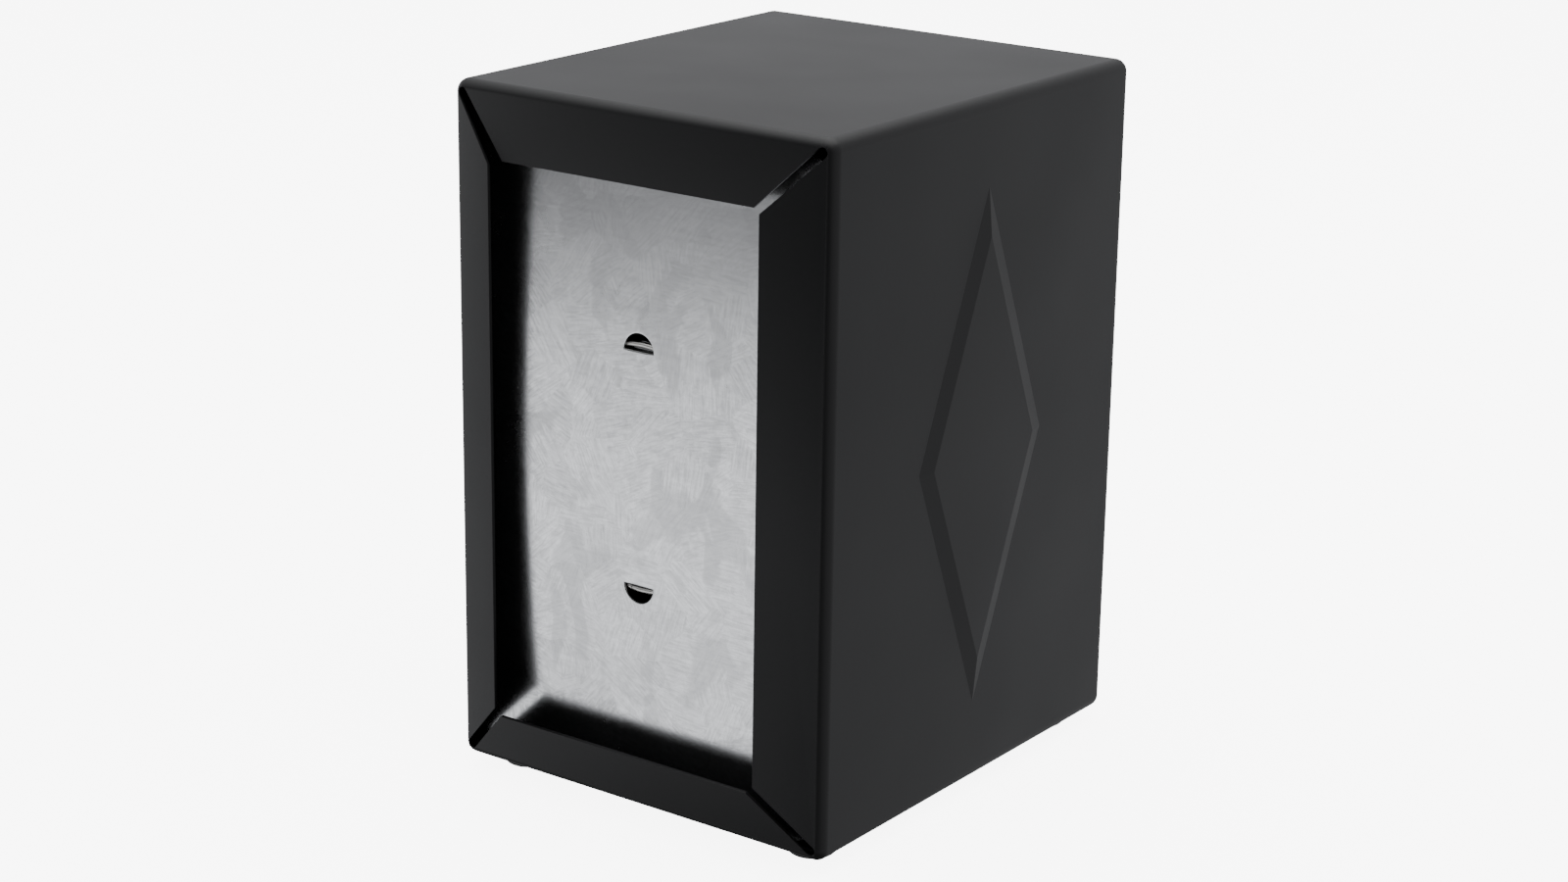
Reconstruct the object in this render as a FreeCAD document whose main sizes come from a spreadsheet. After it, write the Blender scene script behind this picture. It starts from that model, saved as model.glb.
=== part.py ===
import FreeCAD, Part

import math
import os

import Sketcher

# A tabletop napkin dispenser for low-fold napkins. A sleeve folded from one sheet of steel is open at the
# front and the rear, and its edges turn in as four mitred lips round each opening. A spring-loaded plate
# stands behind each opening and presses the napkins against the lips. Four rubber feet carry the sleeve.
# Millimetres. +Z is up, the front faces -Y, and the origin is on the ground under the middle of the case.

SIZES = [
    ("case_width", 94.0, "outside width of the sleeve, along X"),
    ("case_depth", 108.0, "depth of the sleeve between its front and rear bends, along Y"),
    ("case_height", 146.0, "outside height of the sleeve, without its feet"),
    ("case_sheet", 0.6, "thickness of the sleeve's sheet"),
    ("bend_radius", 2.7, "outside radius of every bend in the sleeve"),
    ("lip_length", 12.8, "straight length of each lip, from its bend to its free edge"),
    ("lip_tilt", 23.0, "degrees that the side and bottom lips lean out of the opening's plane"),
    ("top_lip_tilt", 15.0, "degrees that the top lips lean out of the opening's plane"),
    ("mitre_gap", 2.2, "width of the slot between two lips at a corner"),
    ("diamond_half_width", 22.5, "half of the raised diamond's width, along Y"),
    ("diamond_half_height", 55.0, "half of the raised diamond's height"),
    ("diamond_slope", 3.8, "width of the sloping border of the diamond"),
    ("diamond_rise", 0.9, "height of the diamond above the side wall"),
    ("seam_lap", 14.0, "width of the lap where the sheet's two ends are welded inside the base"),
    ("seam_gap", 0.3, "width of the line that the sheet's edge leaves under the base"),
    ("weld_radius", 2.0, "radius of the spot welds of the seam"),
    ("weld_spacing", 24.0, "distance between the spot welds"),
    ("weld_dent", 0.15, "depth of the spot welds' marks"),
    ("plate_side_gap", 1.8, "gap between a plate and a side wall"),
    ("plate_floor_gap", 1.2, "gap between a plate and the inside of the base"),
    ("plate_top_gap", 2.2, "gap between a plate and the inside of the top"),
    ("plate_sheet", 0.6, "thickness of the plates' sheet"),
    ("plate_corner", 8.0, "corner radius of the plates"),
    ("plate_bow", 2.4, "how far the middle of a plate stands in front of its ends"),
    ("plate_lip_gap", 0.36, "gap between a plate at rest and the backs of the side lips"),
    ("tongue_radius", 3.75, "radius of the D-shaped holes that the spring's tongues are cut from"),
    ("tongue_reach", 24.5, "height of the D-shaped holes' straight edges above and below the middle"),
    ("tongue_gap", 0.15, "gap in front of the spring's wire and behind it, in a tongue"),
    ("wire_radius", 0.6, "radius of the spring's wire"),
    ("wire_lift", 0.6, "gap between the straight edge of a D-shaped hole and the wire"),
    ("coil_turns", 6.0, "open turns of the spring, between its two flat end turns"),
    ("end_turn_angle", 330.0, "degrees that each flat end turn of the spring goes round"),
    ("foot_height", 3.0, "height of the rubber feet"),
    ("foot_radius", 5.6, "radius of the feet where they meet the base"),
    ("foot_draft", 0.5, "how much smaller the radius of a foot is at the ground"),
    ("foot_rounding", 1.4, "rounding of the lower edge of a foot"),
    ("foot_inset_across", 9.5, "distance from a foot's middle to the outside of a side wall"),
    ("foot_inset_along", 10.5, "distance from a foot's middle to the end of the flat base"),
]

# Formulas of the sizes above. An object that uses one follows the sheet.
HALF_DEPTH = "(Sizes.case_depth / 2 - Sizes.bend_radius)"
FLAT_WIDTH = "(Sizes.case_width - 2 * Sizes.bend_radius)"
FLAT_HEIGHT = "(Sizes.case_height - 2 * Sizes.bend_radius)"
INNER_RADIUS = "(Sizes.bend_radius - Sizes.case_sheet)"
CASE_MIDDLE = "(Sizes.foot_height + Sizes.case_height / 2)"
PLATE_WIDTH = "(Sizes.case_width - 2 * Sizes.case_sheet - 2 * Sizes.plate_side_gap)"
PLATE_HEIGHT = (
    "(Sizes.case_height - 2 * Sizes.case_sheet - Sizes.plate_floor_gap - Sizes.plate_top_gap)"
)
PLATE_MIDDLE = (
    f"(Sizes.foot_height + Sizes.case_sheet + Sizes.plate_floor_gap + {PLATE_HEIGHT} / 2)"
)
# The block that a plate is cut from, and the cuts through it, are twice as deep as the bowed sheet needs.
PLATE_BLANK_DEPTH = "(4 * (Sizes.plate_bow + Sizes.plate_sheet))"
LIP_BACK_START = f"(Sizes.bend_radius - {INNER_RADIUS} * sin(Sizes.lip_tilt))"
PLATE_EDGE_INSET = "(Sizes.case_sheet + Sizes.plate_side_gap)"
LIP_BACK_AT_PLATE = (
    f"({HALF_DEPTH} + {INNER_RADIUS} * cos(Sizes.lip_tilt)"
    f" + ({PLATE_EDGE_INSET} - {LIP_BACK_START}) * tan(Sizes.lip_tilt))"
)
PLATE_FRONT = f"({LIP_BACK_AT_PLATE} - Sizes.plate_lip_gap / cos(Sizes.lip_tilt))"
BOW_RADIUS = f"(({PLATE_HEIGHT} ^ 2 / 4 + Sizes.plate_bow ^ 2) / (2 * Sizes.plate_bow))"
BOW_AT_TONGUE = f"(Sizes.tongue_reach ^ 2 / (2 * {BOW_RADIUS}))"
WIRE_MIDDLE = (
    f"({BOW_AT_TONGUE} + Sizes.plate_sheet + Sizes.tongue_gap + Sizes.wire_radius)"
)
COIL_RADIUS = "(Sizes.tongue_reach + Sizes.wire_lift + Sizes.wire_radius)"
COIL_LENGTH = f"(2 * ({PLATE_FRONT} - {WIRE_MIDDLE}))"

ALONG_X = FreeCAD.Vector(1, 0, 0)
ALONG_Y = FreeCAD.Vector(0, 1, 0)
ALONG_Z = FreeCAD.Vector(0, 0, 1)
QUARTER = 90
# An edge that is shorter than this along an axis runs square to it.
NO_LENGTH = 0.01
# A cylinder that lies along X, with its sector opening from the top towards the front.
LYING_ALONG_X = FreeCAD.Rotation(ALONG_Z, -ALONG_Y, ALONG_X, "XYZ")
# A cylinder or sphere whose axis points to the front or to the rear, with its sector at the top right.
FACING_FRONT = FreeCAD.Rotation(ALONG_X, ALONG_Z, -ALONG_Y, "XYZ")
FACING_REAR = FreeCAD.Rotation(ALONG_Z, ALONG_X, ALONG_Y, "XYZ")
# A box that runs diagonally down from the top right corner, with its height along Y.
DOWN_DIAGONAL = FreeCAD.Rotation(-ALONG_X - ALONG_Z, ALONG_Z - ALONG_X, ALONG_Y, "XYZ")
# A sketch that stands in the YZ plane and faces +X.
SIDE_VIEW = FreeCAD.Rotation(ALONG_Y, ALONG_Z, ALONG_X, "XYZ")

document = FreeCAD.newDocument("napkin_dispenser")


def make_sheet():
    """The driving sizes, one to a row: name, value and what it is."""
    sheet = document.addObject("Spreadsheet::Sheet", "Sizes")
    for row, (alias, value, meaning) in enumerate(SIZES, start=1):
        sheet.set(f"A{row}", alias)
        sheet.set(f"B{row}", str(value))
        sheet.set(f"C{row}", meaning)
        sheet.setAlias(f"B{row}", alias)
    document.recompute()


def bind(thing, formulas):
    """Ties properties of an object to formulas of the sheet's sizes."""
    for name, formula in formulas.items():
        thing.setExpression(name, formula)
    return thing


def primitive(kind, name, formulas, turn=None):
    """A Part primitive with its sizes and its place bound to the sheet."""
    thing = document.addObject(kind, name)
    if turn is not None:
        thing.Placement.Rotation = turn
    return bind(thing, formulas)


def fused(name, pieces):
    fusion = document.addObject("Part::MultiFuse", name)
    fusion.Shapes = pieces
    return fusion


def without(name, base, tool):
    cut = document.addObject("Part::Cut", name)
    cut.Base = base
    cut.Tool = tool
    return cut


def overlap(name, base, tool):
    common = document.addObject("Part::Common", name)
    common.Base = base
    common.Tool = tool
    return common


def at(x="0", y="0", z="0"):
    """Formulas for a placement's position."""
    return {"Placement.Base.x": x, "Placement.Base.y": y, "Placement.Base.z": z}


# ---------------------------------------------------------------- the folded sleeve


def lip_with_bend(name, run, across, tilt):
    """The front edge of the top wall: a bend, and the lip that leans out of the opening's plane.

    The lip is a trapezoid plate. Its ends lie on the diagonals of the corners, where the slots are cut.
    """
    bend_start = {"Height": f"{run} - 2 * Sizes.bend_radius", "Angle": f"{QUARTER} - {tilt}"}
    bend_start.update(
        at(
            f"-({run} / 2 - Sizes.bend_radius)",
            f"-{HALF_DEPTH}",
            f"{across} / 2 - Sizes.bend_radius",
        )
    )
    outer = primitive(
        "Part::Cylinder", f"{name}_bend_outer", {"Radius": "Sizes.bend_radius", **bend_start}, LYING_ALONG_X
    )
    inner = primitive(
        "Part::Cylinder", f"{name}_bend_inner", {"Radius": INNER_RADIUS, **bend_start}, LYING_ALONG_X
    )
    bend = without(f"{name}_bend", outer, inner)
    root_inset = f"(Sizes.bend_radius * (1 - sin({tilt})))"
    edge_inset = f"({root_inset} + Sizes.lip_length * cos({tilt}))"
    lip = primitive(
        "Part::Wedge",
        f"{name}_lip",
        {
            "Xmin": f"-({run} / 2 - {root_inset})",
            "Xmax": f"{run} / 2 - {root_inset}",
            "X2min": f"-({run} / 2 - {edge_inset})",
            "X2max": f"{run} / 2 - {edge_inset}",
            "Ymin": "0",
            "Ymax": "Sizes.lip_length",
            "Zmin": "0",
            "Zmax": "Sizes.case_sheet",
            "Z2min": "0",
            "Z2max": "Sizes.case_sheet",
            "Placement.Rotation.Angle": f"-({QUARTER} + {tilt})",
            **at(
                "0",
                f"-{HALF_DEPTH} - Sizes.bend_radius * cos({tilt})",
                f"{across} / 2 - {root_inset}",
            ),
        },
        FreeCAD.Rotation(ALONG_X, -QUARTER),
    )
    return fused(f"{name}_edge", [bend, lip])


def folded_wall(name, quarter_turns, run, across, tilt):
    """One wall of the sleeve with its front and rear lips. It is made as the top wall and turned about Y."""
    wall = primitive(
        "Part::Box",
        f"{name}_sheet",
        {
            "Length": f"{run} - 2 * Sizes.bend_radius",
            "Width": f"2 * {HALF_DEPTH}",
            "Height": "Sizes.case_sheet",
            **at(
                f"-({run} / 2 - Sizes.bend_radius)", f"-{HALF_DEPTH}", f"{across} / 2 - Sizes.case_sheet"
            ),
        },
    )
    front_edge = lip_with_bend(name, run, across, tilt)
    rear_edge = document.addObject("Part::Mirroring", f"{name}_rear_edge")
    rear_edge.Source = front_edge
    rear_edge.Normal = ALONG_Y
    whole = fused(f"{name}_wall", [wall, front_edge, rear_edge])
    whole.Placement.Rotation = FreeCAD.Rotation(ALONG_Y, QUARTER * quarter_turns)
    return whole


def corner_solid(name, radius):
    """A quarter rod along Y with a rounded end at the front and at the rear, at the top right."""
    rod = primitive(
        "Part::Cylinder",
        f"{name}_rod",
        {"Radius": radius, "Height": f"2 * {HALF_DEPTH}", "Angle": f"{QUARTER}", **at(y=HALF_DEPTH)},
        FACING_FRONT,
    )
    ends = [
        primitive(
            "Part::Sphere",
            f"{name}_{end}",
            {"Radius": radius, "Angle1": "0", "Angle2": f"{QUARTER}", "Angle3": f"{QUARTER}", **at(y=place)},
            turn,
        )
        for end, turn, place in (
            ("front", FACING_FRONT, f"-{HALF_DEPTH}"),
            ("rear", FACING_REAR, HALF_DEPTH),
        )
    ]
    return fused(name, [rod, *ends])


def corner_places():
    """The four corners' names, places and turns about Y, clockwise from the top right."""
    names = ("top_right", "bottom_right", "bottom_left", "top_left")
    signs = (("", ""), ("", "-"), ("-", "-"), ("-", ""))
    for turns, (name, (x_sign, z_sign)) in enumerate(zip(names, signs)):
        place = at(x=f"{x_sign}{FLAT_WIDTH} / 2", z=f"{z_sign}{FLAT_HEIGHT} / 2")
        yield name, place, FreeCAD.Rotation(ALONG_Y, QUARTER * turns)


def sleeve_corner(name, place, turn):
    """The bend between two walls, rounded at both ends where it runs into their lips' bends."""
    outer = corner_solid(f"{name}_outer", "Sizes.bend_radius")
    inner = corner_solid(f"{name}_inner", INNER_RADIUS)
    corner = without(f"{name}_corner", outer, inner)
    corner.Placement.Rotation = turn
    return bind(corner, place)


def mitre_slot(name, place, turn):
    """The slot between two lips. It starts with a rounded end at the corner's axis and runs inwards."""
    through = "2 * Sizes.case_depth"
    strip = primitive(
        "Part::Box",
        f"{name}_slot_strip",
        {
            "Length": "2 * (Sizes.lip_length + Sizes.bend_radius)",
            "Width": "Sizes.mitre_gap",
            "Height": through,
            **at("Sizes.mitre_gap / 2 * sin(45)", "-Sizes.case_depth", "-Sizes.mitre_gap / 2 * sin(45)"),
        },
        DOWN_DIAGONAL,
    )
    rounded_end = primitive(
        "Part::Cylinder",
        f"{name}_slot_end",
        {"Radius": "Sizes.mitre_gap / 2", "Height": through, **at(y="Sizes.case_depth")},
        FACING_FRONT,
    )
    slot = fused(f"{name}_slot", [strip, rounded_end])
    slot.Placement.Rotation = turn
    return bind(slot, place)


def rhombus(name, place_x, half_width, half_height):
    """A sketch of an upright diamond in a plane that faces X. Each corner lies on one of its two axes."""
    sketch = document.addObject("Sketcher::SketchObject", name)
    sketch.Placement.Rotation = SIDE_VIEW
    bind(sketch, {"Placement.Base.x": place_x})
    corners = [FreeCAD.Vector(math.cos(a), math.sin(a), 0) for a in (0, math.pi / 2, math.pi, -math.pi / 2)]
    for index, corner in enumerate(corners):
        sketch.addGeometry(Part.LineSegment(corner, corners[(index + 1) % 4]), False)
    for index in range(4):
        sketch.addConstraint(Sketcher.Constraint("Coincident", index, 2, (index + 1) % 4, 1))
    for index, axis in ((0, -1), (1, -2), (2, -1), (3, -2)):
        sketch.addConstraint(Sketcher.Constraint("PointOnObject", index, 1, axis))
    limits = (
        ("DistanceX", 0, 1, 1.0, half_width),
        ("DistanceX", 2, 1, -1.0, f"-{half_width}"),
        ("DistanceY", 1, 1, 1.0, half_height),
        ("DistanceY", 3, 1, -1.0, f"-{half_height}"),
    )
    for kind, line, end, start_value, formula in limits:
        number = sketch.addConstraint(Sketcher.Constraint(kind, -1, 1, line, end, start_value))
        sketch.setExpression(f"Constraints[{number}]", formula)
    return sketch


def diamond(name, side, wall_face):
    """The raised diamond as a solid that stands on a plane, with sloping borders of an even width."""
    diagonal = "sqrt(Sizes.diamond_half_width ^ 2 + Sizes.diamond_half_height ^ 2)"
    foot = rhombus(
        f"{name}_foot", f"{side}({wall_face})", "Sizes.diamond_half_width", "Sizes.diamond_half_height"
    )
    crest = rhombus(
        f"{name}_crest",
        f"{side}({wall_face} + Sizes.diamond_rise)",
        f"(Sizes.diamond_half_width - Sizes.diamond_slope * {diagonal} / Sizes.diamond_half_height)",
        f"(Sizes.diamond_half_height - Sizes.diamond_slope * {diagonal} / Sizes.diamond_half_width)",
    )
    loft = document.addObject("Part::Loft", name)
    loft.Sections = [foot, crest]
    loft.Solid = True
    loft.Ruled = True
    return loft


def seam_parts():
    """The lap inside the base, and the marks that the seam leaves under it."""
    lap_end = "(Sizes.case_width / 2 - Sizes.bend_radius)"
    base_inside = "(-Sizes.case_height / 2 + Sizes.case_sheet)"
    lap = primitive(
        "Part::Box",
        "seam_lap_sheet",
        {
            "Length": "Sizes.seam_lap",
            "Width": f"2 * {HALF_DEPTH}",
            "Height": "Sizes.case_sheet",
            **at(f"{lap_end} - Sizes.seam_lap", f"-{HALF_DEPTH}", base_inside),
        },
    )
    groove = primitive(
        "Part::Box",
        "seam_line",
        {
            "Length": "Sizes.seam_gap",
            "Width": f"2 * {HALF_DEPTH}",
            "Height": "Sizes.case_sheet / 2",
            **at(f"{lap_end} - Sizes.seam_gap", f"-{HALF_DEPTH}", "-Sizes.case_height / 2"),
        },
    )
    welds = [
        primitive(
            "Part::Cylinder",
            f"weld_mark_{place + 2}",
            {
                "Radius": "Sizes.weld_radius",
                "Height": "Sizes.weld_dent",
                **at(
                    f"{lap_end} - Sizes.seam_lap / 2",
                    f"{place} * Sizes.weld_spacing",
                    "-Sizes.case_height / 2",
                ),
            },
        )
        for place in (-1, 0, 1)
    ]
    return lap, [groove, *welds]


def make_case_shell():
    """The sleeve: four walls with their lips, four corner bends, a diamond on each side and the seam."""
    walls = [
        folded_wall("top", 0, "Sizes.case_width", "Sizes.case_height", "Sizes.top_lip_tilt"),
        folded_wall("right", 1, "Sizes.case_height", "Sizes.case_width", "Sizes.lip_tilt"),
        folded_wall("bottom", 2, "Sizes.case_width", "Sizes.case_height", "Sizes.lip_tilt"),
        folded_wall("left", 3, "Sizes.case_height", "Sizes.case_width", "Sizes.lip_tilt"),
    ]
    corners = [sleeve_corner(*corner) for corner in corner_places()]
    slots = [mitre_slot(*corner) for corner in corner_places()]
    outer_face = "Sizes.case_width / 2"
    inner_face = f"{outer_face} - Sizes.case_sheet"
    raised = [diamond(f"{name}_diamond", side, outer_face) for name, side in (("right", ""), ("left", "-"))]
    hollows = [diamond(f"{name}_hollow", side, inner_face) for name, side in (("right", ""), ("left", "-"))]
    lap, marks = seam_parts()
    sheet_metal = fused("sleeve_sheet", [*walls, *corners, *raised, lap])
    cuts = fused("sleeve_cuts", [*slots, *hollows, *marks])
    shell = without("case_shell", sheet_metal, cuts)
    return bind(shell, at(z=CASE_MIDDLE))


# ---------------------------------------------------------------- the follower plates and their spring


def body_plane(body, role):
    """One of a body's own origin planes."""
    return next(item for item in body.Origin.OriginFeatures if item.Role == role)


def body_sketch(body, name, role):
    sketch = body.newObject("Sketcher::SketchObject", name)
    sketch.AttachmentSupport = [(body_plane(body, role), "")]
    sketch.MapMode = "FlatFace"
    return sketch


def outline(sketch, points):
    """A closed outline of straight lines. Each point's two coordinates are formulas of the sheet."""
    count = len(points)
    start = [
        FreeCAD.Vector(math.cos(2 * math.pi * i / count), math.sin(2 * math.pi * i / count), 0)
        for i in range(count)
    ]
    for index in range(count):
        sketch.addGeometry(Part.LineSegment(start[index], start[(index + 1) % count]), False)
    for index in range(count):
        sketch.addConstraint(Sketcher.Constraint("Coincident", index, 2, (index + 1) % count, 1))
    for index, (x, y) in enumerate(points):
        for kind, value, formula in (("DistanceX", start[index].x, x), ("DistanceY", start[index].y, y)):
            number = sketch.addConstraint(Sketcher.Constraint(kind, -1, 1, index, 1, value))
            sketch.setExpression(f"Constraints[{number}]", formula)
    return sketch


def plate_blank(name):
    """A flat block with the plate's outline and rounded corners, deep enough to hold the bowed sheet."""
    body = document.addObject("PartDesign::Body", name)
    sketch = body_sketch(body, f"{name}_sketch", "XZ_Plane")
    half_width = f"{PLATE_WIDTH} / 2"
    half_height = f"{PLATE_HEIGHT} / 2"
    outline(
        sketch,
        [
            (half_width, half_height),
            (f"-{half_width}", half_height),
            (f"-{half_width}", f"-{half_height}"),
            (half_width, f"-{half_height}"),
        ],
    )
    pad = body.newObject("PartDesign::Pad", f"{name}_pad")
    pad.Profile = sketch
    pad.Midplane = True
    bind(pad, {"Length": PLATE_BLANK_DEPTH})
    document.recompute()
    corners = [
        f"Edge{number}"
        for number, edge in enumerate(pad.Shape.Edges, start=1)
        if max(edge.BoundBox.XLength, edge.BoundBox.ZLength) < NO_LENGTH
    ]
    rounding = body.newObject("PartDesign::Fillet", f"{name}_corners")
    rounding.Base = (pad, corners)
    bind(rounding, {"Radius": "Sizes.plate_corner"})
    return body


def bowed_sheet(name):
    """The plate's sheet, bent a little about X, so that its middle stands towards the opening."""
    lying = {"Height": PLATE_WIDTH, **at(f"-{PLATE_WIDTH} / 2", BOW_RADIUS)}
    front = primitive("Part::Cylinder", f"{name}_front_face", {"Radius": BOW_RADIUS, **lying}, LYING_ALONG_X)
    rear = primitive(
        "Part::Cylinder",
        f"{name}_rear_face",
        {"Radius": f"{BOW_RADIUS} - Sizes.plate_sheet", **lying},
        LYING_ALONG_X,
    )
    curved = without(f"{name}_curved", front, rear)
    return overlap(f"{name}_sheet", plate_blank(f"{name}_blank"), curved)


def spring_tongue(name):
    """The half-round tongue that was cut from the upper hole, bent back under the wire and up behind it."""
    hinge = f"({BOW_AT_TONGUE} + Sizes.plate_sheet / 2)"
    tip_start = f"({WIRE_MIDDLE} + Sizes.wire_radius + Sizes.tongue_gap)"
    tip_end = f"({tip_start} + Sizes.plate_sheet)"
    underside = "(Sizes.tongue_reach - Sizes.plate_sheet)"
    outline_size = {"Radius": "Sizes.tongue_radius", "Height": "Sizes.plate_sheet"}
    span = {"Length": "2 * Sizes.tongue_radius"}
    leg_disc = primitive("Part::Cylinder", f"{name}_leg_disc", {**outline_size, **at("0", hinge, underside)})
    leg_limit = primitive(
        "Part::Box",
        f"{name}_leg_limit",
        {
            **span,
            "Width": f"{tip_end} - {hinge}",
            "Height": "Sizes.plate_sheet",
            **at("-Sizes.tongue_radius", hinge, underside),
        },
    )
    tip_disc = primitive(
        "Part::Cylinder",
        f"{name}_tip_disc",
        {**outline_size, **at("0", tip_end, f"Sizes.tongue_reach - ({tip_start} - {hinge})")},
        FACING_FRONT,
    )
    tip_limit = primitive(
        "Part::Box",
        f"{name}_tip_limit",
        {
            **span,
            "Width": "Sizes.plate_sheet",
            "Height": "Sizes.tongue_radius",
            **at("-Sizes.tongue_radius", tip_start, underside),
        },
    )
    leg = overlap(f"{name}_leg", leg_disc, leg_limit)
    tip = overlap(f"{name}_tip", tip_disc, tip_limit)
    return fused(name, [leg, tip])


def make_follower_plate(name, place_y, turn):
    """A bowed plate with two D-shaped holes, and the tongues from them that hold the spring's end turn."""
    sheet = bowed_sheet(name)
    hole = primitive(
        "Part::Cylinder",
        f"{name}_upper_hole",
        {
            "Radius": "Sizes.tongue_radius",
            "Height": PLATE_BLANK_DEPTH,
            "Angle": f"2 * {QUARTER}",
            **at(y=f"{PLATE_BLANK_DEPTH} / 2", z="Sizes.tongue_reach"),
        },
        FACING_FRONT,
    )
    tongue = spring_tongue(f"{name}_upper_tongue")
    mirrored = []
    for piece in (hole, tongue):
        below = document.addObject("Part::Mirroring", f"{piece.Name}_below")
        below.Source = piece
        below.Normal = ALONG_Z
        mirrored.append(below)
    lower_hole, lower_tongue = mirrored
    punched = without(f"{name}_punched", sheet, fused(f"{name}_holes", [hole, lower_hole]))
    plate = fused(name, [punched, tongue, lower_tongue])
    plate.Placement.Rotation = turn
    return bind(plate, at(y=place_y, z=PLATE_MIDDLE))


def make_spring():
    """The coil spring between the plates. Its two end turns are flat, so that the tongues can hold them."""
    helix = bind(
        document.addObject("Part::Helix", "spring_path"),
        {"Radius": COIL_RADIUS, "Height": COIL_LENGTH, "Pitch": f"{COIL_LENGTH} / Sizes.coil_turns"},
    )
    wire = primitive(
        "Part::Circle",
        "spring_wire_section",
        {"Radius": "Sizes.wire_radius", **at(x=COIL_RADIUS)},
        FreeCAD.Rotation(ALONG_X, QUARTER),
    )
    document.recompute()
    coil = document.addObject("Part::Sweep", "spring_coil")
    coil.Sections = [wire]
    coil.Spine = (helix, [f"Edge{number}" for number in range(1, len(helix.Shape.Edges) + 1)])
    coil.Solid = True
    coil.Frenet = True
    turn_size = {
        "Radius1": COIL_RADIUS,
        "Radius2": "Sizes.wire_radius",
        "Angle3": "Sizes.end_turn_angle",
    }
    about_axis = FreeCAD.Rotation(ALONG_Z, QUARTER)
    first_turn = primitive(
        "Part::Torus",
        "spring_first_turn",
        {**turn_size, "Placement.Rotation.Angle": "-Sizes.end_turn_angle"},
        about_axis,
    )
    last_turn = primitive(
        "Part::Torus",
        "spring_last_turn",
        {**turn_size, "Placement.Rotation.Angle": "360 * Sizes.coil_turns", **at(z=COIL_LENGTH)},
        about_axis,
    )
    spring = fused("plate_spring", [first_turn, coil, last_turn])
    spring.Placement.Rotation = FreeCAD.Rotation(ALONG_X, -ALONG_Z, ALONG_Y, "XYZ")
    return bind(spring, at(y=f"-{COIL_LENGTH} / 2", z=PLATE_MIDDLE))


# ---------------------------------------------------------------- the feet


def make_foot(name, side, end):
    """A moulded rubber foot under the base: a low cone with a rounded lower edge."""
    body = document.addObject("PartDesign::Body", name)
    sketch = body_sketch(body, f"{name}_sketch", "XZ_Plane")
    ground_radius = "(Sizes.foot_radius - Sizes.foot_draft)"
    outline(
        sketch,
        [
            ("0", "0"),
            ("0", "-Sizes.foot_height"),
            (ground_radius, "-Sizes.foot_height"),
            ("Sizes.foot_radius", "0"),
        ],
    )
    turned = body.newObject("PartDesign::Revolution", f"{name}_turned")
    turned.Profile = sketch
    turned.ReferenceAxis = (sketch, ["V_Axis"])
    turned.Angle = 4 * QUARTER
    document.recompute()
    lower_edge = [
        f"Edge{number}"
        for number, edge in enumerate(turned.Shape.Edges, start=1)
        if edge.BoundBox.ZLength < NO_LENGTH and edge.BoundBox.ZMax < 0
    ]
    rounding = body.newObject("PartDesign::Fillet", f"{name}_lower_edge")
    rounding.Base = (turned, lower_edge)
    bind(rounding, {"Radius": "Sizes.foot_rounding"})
    return bind(
        body,
        at(
            f"{side}(Sizes.case_width / 2 - Sizes.foot_inset_across)",
            f"{end}(Sizes.case_depth / 2 - Sizes.foot_inset_along)",
            "Sizes.foot_height",
        ),
    )


def check_everything():
    """Stops the build if any object failed to recompute or has no sound shape."""
    for thing in document.Objects:
        if "Invalid" in thing.State or "Error" in thing.State:
            raise RuntimeError(f"{thing.Name} failed: {thing.State}")
    for part in PARTS:
        if part.Shape.isNull() or not part.Shape.isValid() or not part.Shape.Solids:
            raise RuntimeError(f"{part.Label} has no sound solid")


make_sheet()
PARTS = [
    make_case_shell(),
    make_follower_plate("front_plate", f"-{PLATE_FRONT}", FreeCAD.Rotation(ALONG_Z, 0)),
    make_follower_plate("rear_plate", PLATE_FRONT, FreeCAD.Rotation(ALONG_Z, 2 * QUARTER)),
    make_spring(),
    make_foot("foot_front_left", "-", "-"),
    make_foot("foot_front_right", "", "-"),
    make_foot("foot_rear_left", "-", ""),
    make_foot("foot_rear_right", "", ""),
]
document.recompute()
check_everything()

os.makedirs("parts", exist_ok=True)
for part in PARTS:
    part.Shape.exportStep(f"parts/{part.Label}.step")
    box = part.Shape.BoundBox
    print(f"{part.Label}: {box.XLength:.1f} x {box.YLength:.1f} x {box.ZLength:.1f} mm")
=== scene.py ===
import math
from functools import partial

import bmesh
import bpy
from mathutils import Matrix, Vector


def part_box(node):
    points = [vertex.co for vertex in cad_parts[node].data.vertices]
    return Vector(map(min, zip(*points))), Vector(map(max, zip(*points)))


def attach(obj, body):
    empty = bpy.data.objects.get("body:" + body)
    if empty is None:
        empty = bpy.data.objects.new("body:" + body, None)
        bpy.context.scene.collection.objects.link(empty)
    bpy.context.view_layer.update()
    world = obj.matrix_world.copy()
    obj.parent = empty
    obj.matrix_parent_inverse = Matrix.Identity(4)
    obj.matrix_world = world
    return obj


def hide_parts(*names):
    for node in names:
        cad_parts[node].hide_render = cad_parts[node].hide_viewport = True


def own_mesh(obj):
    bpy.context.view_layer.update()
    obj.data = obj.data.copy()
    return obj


bl_info = {
    "name": "Napkin dispenser",
    "version": (1, 0, 0),
    "blender": (4, 5, 0),
    "location": "View3D > Sidebar > Dispenser",
    "description": "A folded steel napkin dispenser with spring-loaded plates and rubber feet",
    "category": "Object",
}

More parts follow.
